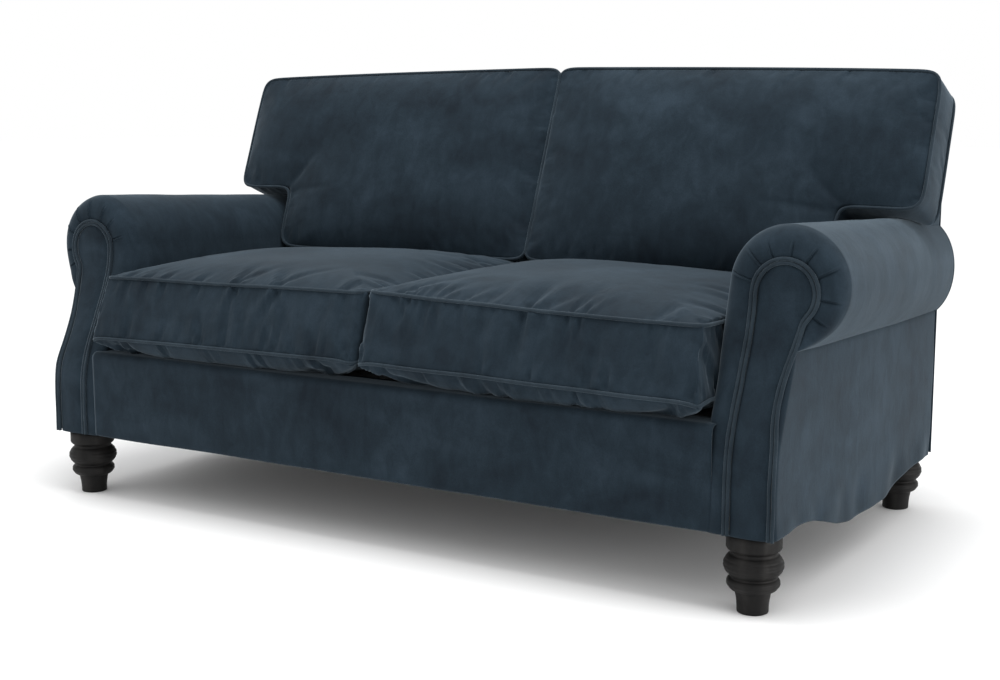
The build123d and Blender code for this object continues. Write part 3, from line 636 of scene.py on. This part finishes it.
def build_front_rail():
    """Velvet over the front rail: turned under at the hem and over onto the deck."""
    reach = arm_inner + 0.010
    cols = 240
    profile = ([(0.020, base_z + 0.002), (0.006, base_z + 0.0005)]
               + [(0.0, z) for z in np.linspace(base_z + 0.003, deck_z - 0.011, 46)]
               + [(0.012 * (1 - cos(a)), deck_z - 0.011 + 0.012 * sin(a))
                  for a in np.linspace(0, pi / 2, 9)[1:]]
               + [(y, deck_z + 0.001) for y in (0.02, 0.03, 0.045, 0.062)])
    uneven, fine = Wobble(5, 0.30), Wobble(6, 0.09)
    x = np.linspace(-reach, reach, cols)
    rows = []
    for y, z in profile:
        points = np.stack([x, np.full(cols, front_y + y), np.full(cols, z)], axis=1)
        points[:, 1] += 0.0016 * uneven(points) + 0.0006 * fine(points) - 0.001
        points[:, 2] += 0.0012 * uneven(points + 3.0) * (z < base_z + 0.01)
        rows.append(points)
    obj = make_object("front_rail_velvet", np.concatenate(rows), grid_faces(len(rows), cols, flip=True),
                      VELVET)
    thicken(obj, PILE_CLOTH)
    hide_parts("front_rail_cover")


# --- Bodies sewn from two panels and a boxing strip ------------------------------------------
def boxed_mesh(us, vs, inside, front, rear, rows, rounding):
    """Points and faces of two gridded panels joined round their edge by a strip of rows.

    Returns points, faces, and the point numbers of the front and of the rear seam in order.
    """
    nu, nv = len(us), len(vs)
    cell = np.array([[inside(0.5 * (us[i] + us[i + 1]), 0.5 * (vs[j] + vs[j + 1]))
                      for j in range(nv - 1)] for i in range(nu - 1)])
    follow = {}
    for i in range(nu - 1):
        for j in range(nv - 1):
            if not cell[i, j]:
                continue
            for (di, dj), a, b in (((0, -1), (i, j), (i + 1, j)), ((1, 0), (i + 1, j), (i + 1, j + 1)),
                                   ((0, 1), (i + 1, j + 1), (i, j + 1)), ((-1, 0), (i, j + 1), (i, j))):
                p, q = i + di, j + dj
                if not (0 <= p < nu - 1 and 0 <= q < nv - 1 and cell[p, q]):
                    follow[a] = b
    loop = [min(follow)]
    while follow[loop[-1]] != loop[0]:
        loop.append(follow[loop[-1]])
    # ease the outline's corners, then let the inner grid follow
    flat = {(i, j): np.array([us[i], vs[j]], float) for i in range(nu) for j in range(nv)}
    eased = soften([flat[n] for n in loop], rounding, closed=True)
    for n, p in zip(loop, eased):
        flat[n] = p
    number, points, faces = {}, [], []
    for side, shape in (("front", front), ("rear", rear)):
        for i in range(nu - 1):
            for j in range(nv - 1):
                if cell[i, j]:
                    corners = [(i, j), (i + 1, j), (i + 1, j + 1), (i, j + 1)]
                    for c in corners:
                        if (side, c) not in number:
                            number[side, c] = len(points)
                            points.append(shape(*flat[c]))
                    quad = [number[side, c] for c in corners]
                    faces.append(tuple(quad if side == "front" else quad[::-1]))
    seams = [[number[side, n] for n in loop] for side in ("front", "rear")]
    strips = [seams[0]]
    for row in range(1, rows):
        share = row / rows
        strip = []
        for a, b in zip(*seams):
            strip.append(len(points))
            points.append(points[a] * (1 - share) + points[b] * share)
        strips.append(strip)
    strips.append(seams[1])
    count = len(loop)
    for upper, lower in zip(strips, strips[1:]):
        for k in range(count):
            faces.append((upper[k], lower[k], lower[(k + 1) % count], upper[(k + 1) % count]))
    return np.array(points), faces, seams


FRAMES, DRAWN_IN = 20, 0.03                 # length of the simulation, and the seams' shortening
SEAM_HOLD, MOST_SHIFT = 0.75, 0.024         # how firmly a seam is held; how far a point may move


def inflate(obj, seams, pressure):
    """Cloth simulation of a sewn cover: pressed out from inside, its seams drawn tight."""
    start = np.array([v.co for v in obj.data.vertices])
    seam_points = [n for seam in seams for n in seam]
    group = obj.vertex_groups.new(name="seam")
    group.add(seam_points, 1.0, "REPLACE")
    held = obj.vertex_groups.new(name="held")
    held.add(seam_points, SEAM_HOLD, "REPLACE")
    cloth_modifier = obj.modifiers.new("Cloth", "CLOTH")
    s = cloth_modifier.settings
    s.quality, s.mass = 5, 0.25
    s.tension_stiffness = s.compression_stiffness = 14
    s.shear_stiffness, s.bending_stiffness = 6, 0.35
    s.use_pressure, s.uniform_pressure_force = True, pressure
    s.vertex_group_shrink, s.shrink_min, s.shrink_max = "seam", 0.0, DRAWN_IN
    s.vertex_group_mass, s.pin_stiffness = "held", 1.0
    s.effector_weights.gravity = 0
    cloth_modifier.point_cache.frame_start, cloth_modifier.point_cache.frame_end = 1, FRAMES
    for f in range(1, FRAMES + 1):
        scene.frame_set(f)
    evaluated = obj.evaluated_get(bpy.context.evaluated_depsgraph_get())
    moved = np.array([v.co for v in evaluated.data.vertices])
    obj.modifiers.remove(cloth_modifier)
    scene.frame_set(1)
    shift = moved - start
    length = np.linalg.norm(shift, axis=1)
    shift *= (np.minimum(length, MOST_SHIFT) / np.maximum(length, 1e-9))[:, None]
    return start + shift


def set_points(obj, points):
    obj.data.vertices.foreach_set("co", points.astype(np.float32).ravel())
    obj.data.update()


def outward_of(line):
    """Offsets that carry a seam's points away from its middle."""
    out = line - line.mean(axis=0)
    ahead = np.roll(line, -1, axis=0) - np.roll(line, 1, axis=0)
    ahead /= np.linalg.norm(ahead, axis=1)[:, None]
    out -= ahead * (out * ahead).sum(axis=1)[:, None]
    return out / np.linalg.norm(out, axis=1)[:, None] * SEAM_REACH


def add_core(cover, kind, word):
    """Foam filling: the cover's own shape, a few millimetres smaller all round."""
    points = np.array([v.co for v in cover.data.vertices]) - 0.006 * vertex_normals(cover)
    faces = [tuple(f.vertices) for f in cover.data.polygons]
    core = make_object(f"{kind}_core_{word}", points, faces, FOAM, f"{kind}_cushion_{word}")
    add_modifier(core, "SMOOTH", factor=0.5, iterations=12)
    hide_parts(f"{kind}_cushion_core_{word}")


def subdivided(obj):
    """The object's mesh with one level of subdivision made real."""
    add_modifier(obj, "SUBSURF", levels=1, render_levels=1)
    bpy.context.view_layer.update()
    evaluated = obj.evaluated_get(bpy.context.evaluated_depsgraph_get())
    mesh = bpy.data.meshes.new_from_object(evaluated)
    obj.modifiers.clear()
    obj.data = mesh
    obj.vertex_groups.clear()
    return np.array([v.co for v in mesh.vertices])


def pucker(obj, seams, seed, crowding, reach, depth):
    """Creases that run in from the seams, where the cloth is gathered onto its piping.

    crowding is the number of creases per metre of seam, reach their usual length. Returns
    the finished points; those of the seams keep their numbers.
    """
    sharp = {frozenset(pair) for seam in seams for pair in zip(seam, seam[1:] + seam[:1])}
    crease = obj.data.attributes.new("crease_edge", "FLOAT", "EDGE")
    for edge, value in zip(obj.data.edges, crease.data):
        value.value = 0.7 if frozenset(edge.vertices) in sharp else 0.0
    points = subdivided(obj)
    normals = vertex_normals(obj)
    draw = np.random.default_rng(seed)
    total = np.zeros(len(points))
    for line in [points[seam] for seam in seams]:
        ahead = np.linalg.norm(np.roll(line, -1, axis=0) - line, axis=1)
        along = np.concatenate([[0], np.cumsum(ahead)])[:-1]
        length = ahead.sum()
        tree = KDTree(len(line))
        for n, p in enumerate(line):
            tree.insert(p, n)
        tree.balance()
        found = [tree.find(p) for p in points]
        near = np.array([f[2] for f in found])
        at = along[np.array([f[1] for f in found])]
        # two sets, one for each panel that meets at the seam
        facing_up = normals @ np.array([0.0, -0.45, 0.9]) > 0.62
        for panel in (facing_up, ~facing_up):
            for _ in range(int(crowding * length)):
                place, slant = draw.uniform(0, length), draw.normal(0, 0.28)
                width, long = draw.uniform(0.004, 0.009), reach * draw.uniform(0.4, 1.5)
                high = depth * draw.uniform(0.3, 1.0)
                off = (at - place - slant * near + length / 2) % length - length / 2
                wide = width + 0.10 * near
                q = off / wide
                crease = -np.exp(-q**2) + 0.6 * np.exp(-((q - 1.7) / 1.1) ** 2)
                fade = np.exp(-((near / long) ** 2)) * smooth_step(near / 0.010)
                total += panel * high * crease * fade
    points = points + normals * total[:, None]
    set_points(obj, points)
    return points


def sewn_cover(kind, side, panels, pressure):
    """Cover of one cushion from its panels, blown up by the simulation; its points too."""
    points, faces, seams = panels
    points = points * (side, 1, 1)
    faces = [f[::-1] for f in faces] if side < 0 else faces
    obj = make_object(f"{kind}_cushion_velvet_{hand(side)}", points, faces, VELVET,
                      body=f"{kind}_cushion_{hand(side)}")
    return obj, inflate(obj, seams, pressure), seams


def fit_out(obj, kind, side, points, seams, places):
    """Piping on both seams of a cushion, and the foam inside its cover."""
    word = hand(side)
    for seam, place in zip(seams, places):
        line = soften(points[seam] + outward_of(points[seam]), 6, closed=True)
        line = soften(resample(line, 0.0045, closed=True), 2, closed=True)
        cord = tube(f"{kind}_piping_{place}_{word}", line, CORD, PIPING_WITH_PAINTED_HIGHLIGHT, f"{kind}_cushion_{word}",
                    closed=True)
        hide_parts(f"{kind}_cushion_piping_{word}")
    add_core(obj, kind, word)
    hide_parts(f"{kind}_cushion_cover_{word}")


def seat_cushion(side):
    """Seat cushion: crowned top, full boxing and a belly that sags over the rail."""
    low_box, high_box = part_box("seat_cushion_cover_right")
    pipe_low, pipe_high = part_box("seat_cushion_piping_right")
    # the cushions meet a few millimetres to the left of the sofa's middle
    x0, x1 = -0.004 if side > 0 else 0.006, arm_inner + 0.002
    y_low, y_rear = low_box[1] + 0.001, high_box[1]
    y_top = y_low + 0.046
    cell = 0.0085
    us = np.linspace(0, 1, int((x1 - x0) / cell) + 1)
    vs = np.linspace(0, 1, int((y_rear - y_low) / cell) + 1)
    uneven = Wobble(201 + side, 0.25)

    def lift(x):
        return 1 - abs(x) / x1

    def top(u, v):
        x = x0 + u * (x1 - x0)
        y = y_top + v * (y_rear - y_top)
        swell = (max(0, 4 * u * (1 - u)) ** 0.45) * (max(0, 4 * v * (1 - v)) ** 0.42)
        z = pipe_high[2] + 0.003 + 0.014 * lift(x) + 0.035 * swell
        return np.array([x, y, z])

    def under(u, v):
        x = x0 + u * (x1 - x0)
        y = y_low + v * (y_rear - y_low)
        swell = (max(0, 4 * u * (1 - u)) ** 0.26) * (max(0, 4 * v * (1 - v)) ** 0.16)
        z = pipe_low[2] + 0.008 + 0.010 * lift(x) - 0.052 * swell
        return np.array([x, y, z])

    panels = boxed_mesh(us, vs, lambda u, v: True, top, under, int(0.128 / cell), 2)
    obj, points, seams = sewn_cover("seat", side, panels, 3.2)
    points[:, 2] = np.maximum(points[:, 2], deck_z + 0.003)
    outer = wall_x(points[:, 2], front_y + RAKE_DEPTH) - 0.0015
    across = points[:, 0] * side
    points[:, 0] = side * np.clip(across, x0 + 0.0025, outer)
    points[:, 2] += 0.0025 * uneven(points)
    set_points(obj, points)
    points = pucker(obj, seams, 210 + side, 22, 0.065, 0.0058)
    fit_out(obj, "seat", side, points, seams, ("top", "under"))


def back_cushion(side):
    """Back cushion with an ear over the arm, leaning on the inside back."""
    low_box, high_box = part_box("back_cushion_cover_right")
    x0, x_ear = -0.004, high_box[0] + 0.002
    x_side = arm_inner - 0.013
    thick = 0.115
    up = np.array([0, sin(LEAN), cos(LEAN)])
    forward = np.array([0, -cos(LEAN), sin(LEAN)])
    foot_z = low_box[2] - 0.006
    foot = np.array([0, inside_back(foot_z) - 0.004 / cos(LEAN) - thick / cos(LEAN), foot_z])
    height = (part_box("back_cushion_piping_right")[1][2] - foot_z) / cos(LEAN)
    ear_step = (0.650 - foot_z) / cos(LEAN)
    cell = 0.0088
    us = np.linspace(x0, x_ear, int((x_ear - x0) / cell) + 1)
    vs = np.linspace(0, height, int(height / cell) + 1)
    uneven = Wobble(301 + side, 0.22)

    def inside(x, s):
        return x < x_side or s > ear_step

    def swell(x, s):
        across = np.clip(4 * (x - x0) * (x_ear - x) / (x_ear - x0) ** 2, 0, 1)
        tall = np.clip(4 * s * (height - s) / height**2, 0, 1)
        near_ear = max(smooth_step((s - ear_step) / 0.10), smooth_step((x_side - x) / 0.09))
        return across**0.42 * tall**0.40 * (0.25 + 0.75 * near_ear)

    def rise(x, s):
        return (0.012 - 0.012 * x / x_ear - 0.006 * (x / x_ear) ** 3) * s / height

    def front(x, s):
        return foot + up * (s + rise(x, s)) + forward * (0.040 * swell(x, s)) + (x, 0, 0)

    def rear(x, s):
        return foot + up * (s + rise(x, s)) - forward * thick + (x, 0, 0)

    panels = boxed_mesh(us, vs, inside, front, rear, int(0.112 / cell), 5)
    obj, points, seams = sewn_cover("back", side, panels, 2.6)
    rear_limit = inside_back(points[:, 2]) - 0.002
    points[:, 1] = np.where(points[:, 2] < back_top_z + 0.01, np.minimum(points[:, 1], rear_limit),
                            points[:, 1])
    points[:, 2] = np.maximum(points[:, 2], foot_z - 0.012)
    across = np.maximum(points[:, 0] * side, 0.0012)
    points[:, 0] = side * across
    resting = (across > ROLL_X[0] - ROLL_FRONT[0]) & (points[:, 2] > ROLL_Z[1])
    points[:, 2] = np.where(resting, np.maximum(points[:, 2], roll_top(across, points[:, 1]) + 0.003),
                            points[:, 2])
    points[:, 1] += 0.0016 * uneven(points)
    set_points(obj, points)
    points = pucker(obj, seams, 310 + side, 18, 0.040, 0.0026)
    fit_out(obj, "back", side, points, seams, ("front", "rear"))


def build_back():
    """Upholstered back: raked inside, upright outside, wings over the arm rolls."""
    wing_z = ROLL_Z[1] + ROLL_REAR[2] - 0.03
    low_z = deck_z - 0.008
    inner_x = arm_inner - 0.001
    us = np.concatenate([np.linspace(-half_base, -inner_x, 11)[:-1], np.linspace(-inner_x, inner_x, 101),
                         np.linspace(inner_x, half_base, 11)[1:]])
    vs = np.concatenate([np.linspace(low_z, wing_z, 22), np.linspace(wing_z, back_top_z, 18)[1:]])
    uneven = Wobble(401, 0.3)

    def front(x, z):
        return np.array([x, inside_back(z), z])

    def rear(x, z):
        return np.array([x, rear_y - 0.004, z])

    points, faces, _ = boxed_mesh(us, vs, lambda x, z: abs(x) < inner_x or z > wing_z, front, rear, 5,
                                  2)
    points[:, 1] += 0.002 * uneven(points)
    obj = make_object("back_velvet", points, faces, VELVET)
    add_modifier(obj, "SUBSURF", levels=2, render_levels=2)
    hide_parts("back_cover")
    # the foam under the inside back
    across = np.linspace(0.012 - inner_x, inner_x - 0.012, 60)
    rows = [np.stack([across, np.full(60, inside_back(z) + 0.006), np.full(60, z)], axis=1)
            for z in np.linspace(deck_z + 0.004, back_top_z - 0.02, 40)]
    pad = make_object("back_wadding", np.concatenate(rows), grid_faces(40, 60), FOAM)
    thicken(pad, WADDING_DEPTH)
    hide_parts("inside_back_pad")


def build_outside_back():
    """Sheet over the rear of the sofa, closing the ends of the arm rolls."""
    cols, rows_n = 160, 70
    uneven, folds = Wobble(451, 0.3), Wobble(452, 0.08)
    rows = []
    for v in np.linspace(0, 1, rows_n):
        x = np.linspace(-half_base, half_base, cols)
        low = base_z - 0.026 + 0.004 * np.sin(9 * x)
        z = low + (back_top_z - low) * v
        edge = np.minimum(np.minimum(half_base - abs(x), back_top_z - z), 0.012) / 0.012
        y = rear_y - 0.004 * (1 - edge) ** 2
        points = np.stack([x, y, z], axis=1)
        loose = smooth_step((base_z + 0.03 - z) / 0.05)
        points[:, 1] += 0.0018 * uneven(points) + loose * 0.004 * folds(points)
        rows.append(points)
    obj = make_object("outside_back_velvet", np.concatenate(rows),
                      grid_faces(rows_n, cols, flip=True), VELVET)
    thicken(obj, PILE_CLOTH)
    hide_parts("outside_back_panel")
    x, z, inner, outer, tall = roll_at(rear_y)
    for side in (-1, 1):
        rings, spokes = 12, 72
        points = [(side * x, rear_y + 0.003, z)]
        for k in range(1, rings + 1):
            share = k / rings
            for a in np.linspace(0, 2 * pi, spokes, endpoint=False):
                bulge = 0.003 - 0.012 * share**6
                reach = (inner if cos(a) < 0 else outer) + 0.002
                points.append((side * (x + reach * share * cos(a)), rear_y + bulge,
                               z + (tall + 0.002) * share * sin(a)))
        faces = [(0, 1 + k, 1 + (k + 1) % spokes) for k in range(spokes)]
        ring_faces = grid_faces(rings, spokes, close_cols=True)
        faces += [tuple(1 + n for n in f)[::-1] for f in ring_faces]
        if side > 0:
            faces = [f[::-1] for f in faces]
        cap = make_object(f"roll_end_velvet_{hand(side)}", points, faces, VELVET)
        thicken(cap, PILE_CLOTH)


def build_deck():
    """Lining cloth on the seat deck, sagging slightly between its seams."""
    low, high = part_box("deck_cover")
    cols, rows_n = 90, 40
    rows = []
    for v in np.linspace(0, 1, rows_n):
        x = np.linspace(low[0], high[0], cols)
        y = np.full(cols, low[1] + v * (high[1] - low[1]))
        dip = 0.0015 * np.sin(pi * v) * (1 - (x / high[0]) ** 8)
        z = high[2] - dip
        rows.append(np.stack([x, y, z], axis=1))
    obj = make_object("deck_lining", np.concatenate(rows), grid_faces(rows_n, cols), LINING)
    thicken(obj, 0.0015)
    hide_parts("deck_cover")


LEG_HOLE = 0.043                            # radius of the cut-outs round the legs


def build_dust_cover():
    """Black lining tacked under the base, cut out round the legs."""
    low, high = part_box("dust_cover")
    cols, rows_n = 168, 89
    x, y = np.linspace(low[0], high[0], cols), np.linspace(low[1], high[1], rows_n)
    grid = np.array([(a, b, low[2] + 0.0004) for b in y for a in x])
    grid[:, 2] -= 0.001 * np.cos(pi * grid[:, 0] / high[0] / 2) * np.sin(
        pi * (grid[:, 1] - low[1]) / (high[1] - low[1]))
    middles = [np.mean(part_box(node), axis=0)[:2] for node in LEG_NODES]
    faces = [face for face in grid_faces(rows_n, cols, flip=True)
             if all(np.hypot(*(grid[list(face), :2].mean(axis=0) - m)) > LEG_HOLE for m in middles)]
    used = sorted({n for face in faces for n in face})
    number = {n: k for k, n in enumerate(used)}
    faces = [tuple(number[n] for n in face) for face in faces]
    obj = make_object("dust_lining", grid[used], faces, LINING)
    thicken(obj, 0.001)
    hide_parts("dust_cover")


# --- Legs ------------------------------------------------------------------------------------
LEG_NODES = ["leg_front_left", "leg_front_right", "leg_rear_left", "leg_rear_right"]


def leg_profile(height):
    """Radius and height up the turning; build_leg cuts the fine grooves in the bulge and the ring."""
    def arc(points, start, through, end, count):
        t = np.linspace(0, 1, count)
        points += [tuple((1 - s) ** 2 * np.array(start) + 2 * s * (1 - s) * np.array(through)
                         + s**2 * np.array(end)) for s in t]

    h = height
    points = [(0.0, 0.0), (0.0245, 0.0), (0.0268, 0.0012)]
    arc(points, (0.0272, 0.003), (0.0272, 0.16 * h), (0.0315, 0.262 * h), 12)
    arc(points, (0.0320, 0.268 * h), (0.0400, 0.285 * h), (0.0425, 0.318 * h), 10)
    arc(points, (0.0430, 0.323 * h), (0.0495, 0.375 * h), (0.0425, 0.425 * h), 14)
    arc(points, (0.0412, 0.428 * h), (0.0392, 0.440 * h), (0.0400, 0.455 * h), 6)
    arc(points, (0.0410, 0.460 * h), (0.0615, 0.585 * h), (0.0430, 0.712 * h), 34)
    arc(points, (0.0415, 0.716 * h), (0.0390, 0.735 * h), (0.0405, 0.760 * h), 8)
    arc(points, (0.0412, 0.764 * h), (0.0465, 0.785 * h), (0.0475, 0.812 * h), 8)
    points += [(0.0475, 0.90 * h), (0.0475, h), (0.0, h)]
    return np.array(points)


def build_leg(node):
    low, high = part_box(node)
    centre = ((low[0] + high[0]) / 2, (low[1] + high[1]) / 2)
    profile = leg_profile(high[2])
    groove = np.zeros(len(profile))
    for at, width in ((0.545, 0.010), (0.600, 0.010), (0.655, 0.010), (0.375, 0.012)):
        groove += np.exp(-(((profile[:, 1] / high[2] - at) / width) ** 2))
    profile[:, 0] -= 0.0009 * groove * (profile[:, 0] > 0.03)
    spokes = 72
    angles = np.linspace(0, 2 * pi, spokes, endpoint=False)
    points = np.array([(centre[0] + r * cos(a), centre[1] + r * sin(a), z)
                       for r, z in profile[1:-1] for a in angles])
    count = len(profile) - 2
    faces = grid_faces(count, spokes, close_cols=True)
    faces += [tuple(range(spokes))[::-1], tuple(range((count - 1) * spokes, count * spokes))]
    obj = make_object(node.replace("leg", "turned_leg"), points, faces, WOOD)
    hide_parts(node)


# --- Camera, light and floor -----------------------------------------------------------------
def set_stage():
    camera_data = bpy.data.cameras.new("camera")
    camera_data.lens, camera_data.sensor_width = 54.4, 36.0
    camera = bpy.data.objects.new("camera", camera_data)
    camera.location = (1.7249, front_y - 2.2851, 0.8469)
    camera.rotation_euler = (radians(90 - 8.72), 0, radians(31.77))
    scene.collection.objects.link(camera)
    scene.camera = camera

    world = bpy.data.worlds.new("studio")
    world.use_nodes = True
    world.node_tree.nodes["Background"].inputs["Color"].default_value = (1, 1, 1, 1)
    world.node_tree.nodes["Background"].inputs["Strength"].default_value = 1.0
    scene.world = world
    scene.view_settings.view_transform = "Standard"

    def area(name, place, target, size, power):
        data = bpy.data.lights.new(name, "AREA")
        data.shape, data.size, data.energy = "DISK", size, power
        light = bpy.data.objects.new(name, data)
        light.location = place
        direction = np.array(target) - np.array(place)
        light.rotation_euler = Vector(direction).to_track_quat("-Z", "Y").to_euler()
        scene.collection.objects.link(light)

    area("overhead", (0.2, -0.3, 3.2), (0, 0, 0.4), 2.0, 60)
    area("right_side", (3.6, 0.0, 0.30), (0.6, 0, 0.20), 1.4, 46)
    sun = bpy.data.lights.new("sky_fill", "SUN")
    sun.energy, sun.angle = 0.40, radians(60)
    fill = bpy.data.objects.new("sky_fill", sun)
    fill.rotation_euler = (radians(18), radians(12), 0)
    scene.collection.objects.link(fill)

    floor_material = Shader("studio_floor", roughness=0.9, Specular_IOR_Level=0.0)
    floor_material.shader.inputs["Base Color"].default_value = (0.93, 0.93, 0.93, 1)
    size = 30.0
    mesh = bpy.data.meshes.new("floor")
    mesh.from_pydata([(-size, -size, 0), (size, -size, 0), (size, size, 0), (-size, size, 0)], [],
                     [(0, 1, 2, 3)])
    mesh.materials.append(floor_material.material)
    floor = bpy.data.objects.new("floor", mesh)
    scene.collection.objects.link(floor)


set_stage()
for side in (-1, 1):
    build_arm(side)
    build_facing(side)
    build_scroll_board(side)
    build_side_panel(side)
    seat_cushion(side)
    back_cushion(side)
build_front_rail()
build_back()
build_outside_back()
build_deck()
build_dust_cover()
for node in LEG_NODES:
    build_leg(node)
